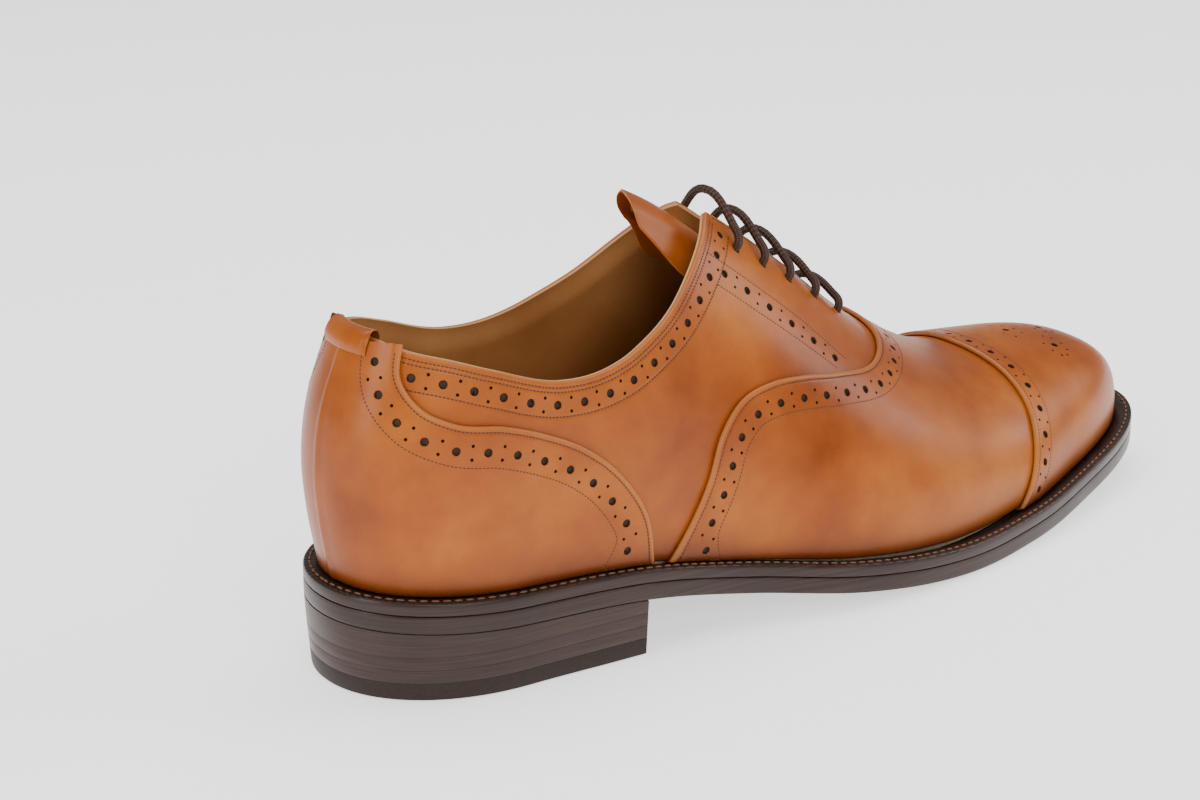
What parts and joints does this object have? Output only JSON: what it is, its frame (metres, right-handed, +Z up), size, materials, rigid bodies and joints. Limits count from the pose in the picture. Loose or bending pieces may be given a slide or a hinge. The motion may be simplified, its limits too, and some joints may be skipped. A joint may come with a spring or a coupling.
{
  "type": "leather oxford shoe",
  "caption": "Right cap-toe oxford shoe with closed lacing, brogued seams, welted sole and stacked leather heel; the forepart flexes and the tongue hinges.",
  "frame": {"origin": "middle of the shoe's bounding box at ground level, under the waist", "axes": "+X towards the toe, +Y towards the other foot (medial side), +Z up"},
  "size_m": [0.3034, 0.1078, 0.1178],
  "materials": {
    "tan_calf": "burnished calf, semi-gloss",
    "lining_leather": "unfinished lining leather, matt",
    "burnished_sole_edge": "dark burnished and waxed",
    "sole_leather": "undyed vegetable-tanned, matt",
    "waxed_cotton": "round braided and waxed",
    "cork_filler": "ground cork, matt",
    "stiffener_board": "leatherboard, matt",
    "shank_steel": "tempered strip steel",
    "brass": "satin",
    "clear_brown_plastic": "gloss",
    "rubber_top_piece": "moulded, matt"
  },
  "bodies": {
    "rear": {"aglet_lateral": "clear_brown_plastic", "aglet_medial": "clear_brown_plastic", "back_tab": "tan_calf", "cork_rear": "cork_filler", "counter_stiffener": "stiffener_board", "eyelet_lateral_1": "brass", "eyelet_lateral_2": "brass", "eyelet_lateral_3": "brass", "eyelet_lateral_4": "brass", "eyelet_lateral_5": "brass", "eyelet_medial_1": "brass", "eyelet_medial_2": "brass", "eyelet_medial_3": "brass", "eyelet_medial_4": "brass", "eyelet_medial_5": "brass", "facing_stay_lateral": "stiffener_board", "facing_stay_medial": "stiffener_board", "heel_counter_cover": "tan_calf", "heel_lift_1": "burnished_sole_edge", "heel_lift_2": "burnished_sole_edge", "heel_lift_3": "burnished_sole_edge", "heel_nail_1": "shank_steel", "heel_nail_2": "shank_steel", "heel_nail_3": "shank_steel", "heel_nail_4": "shank_steel", "heel_nail_5": "shank_steel", "heel_rand": "burnished_sole_edge", "insole_rear": "sole_leather", "insole_rib_waist_lateral": "stiffener_board", "insole_rib_waist_medial": "stiffener_board", "lace": "waxed_cotton", "outsole_rear": "burnished_sole_edge", "quarter_lateral": "tan_calf", "quarter_lining_lateral": "lining_leather", "quarter_lining_medial": "lining_leather", "quarter_medial": "tan_calf", "shank": "shank_steel", "sock_rear": "lining_leather", "top_piece": "rubber_top_piece", "vamp": "tan_calf", "welt_waist_lateral": "burnished_sole_edge", "welt_waist_medial": "burnished_sole_edge"},
    "forepart": {"toe_cap": "tan_calf", "toe_puff": "stiffener_board", "vamp_lining": "lining_leather", "outsole_fore": "burnished_sole_edge", "cork_fore": "cork_filler", "insole_fore": "sole_leather", "sock_fore": "lining_leather", "welt_fore": "burnished_sole_edge", "insole_rib_fore": "stiffener_board"},
    "tongue": {"tongue": "tan_calf", "tongue_lining": "lining_leather"}
  },
  "joints": [
    {"name": "forefoot_flex", "type": "hinge", "parent": "rear", "child": "forepart", "pos_m": [0.06325, 0.00046, 0.01279], "axis": [0, -1, 0], "range_deg": [0, 30], "stiffness_Nm_per_rad": 12, "deforming": ["vamp", "vamp_lining"]},
    {"name": "tongue_hinge", "type": "hinge", "parent": "rear", "child": "tongue", "pos_m": [0.04023, 0.00558, 0.0534], "axis": [0, -1, 0], "range_deg": [0, 12], "stiffness_Nm_per_rad": 0.1}
  ]
}
